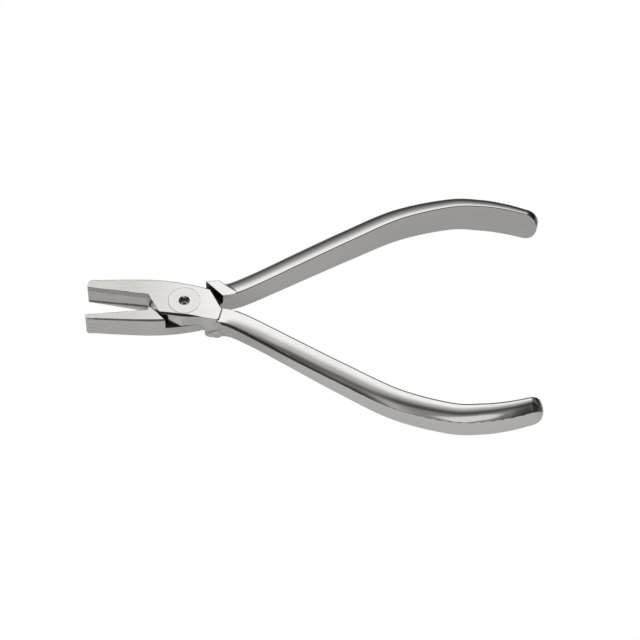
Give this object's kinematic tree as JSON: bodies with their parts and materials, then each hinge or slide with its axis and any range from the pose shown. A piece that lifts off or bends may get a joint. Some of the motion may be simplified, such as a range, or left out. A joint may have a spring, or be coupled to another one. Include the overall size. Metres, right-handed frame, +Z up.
{
  "type": "crimping pliers",
  "caption": "Half-lap steel pliers with short flat channelled jaws, a flush pivot screw and long flared D-section handles.",
  "frame": {"origin": "on the pivot axis, in the plane of the joint's flat underside", "axes": "+X from the pivot towards the handles, along the pliers; +Y towards the upper jaw; +Z up the pivot axis, out of the screw's head, with the pliers lying flat"},
  "size_m": [0.1291, 0.0798, 0.0114],
  "materials": {
    "satin_steel": "satin-polished stainless steel with a fine lengthwise grain",
    "screw_steel": "stainless steel, ground flush with the joint"
  },
  "bodies": {
    "upper_half": {"upper_jaw_half": "satin_steel"},
    "lower_half": {"lower_jaw_half": "satin_steel", "pivot_screw": "screw_steel"}
  },
  "joints": [
    {"name": "pivot", "type": "hinge", "parent": "upper_half", "child": "lower_half", "pos_m": [0, 0, 0.0038], "axis": [0, 0, 1], "range_deg": [-19.8, 70]}
  ]
}
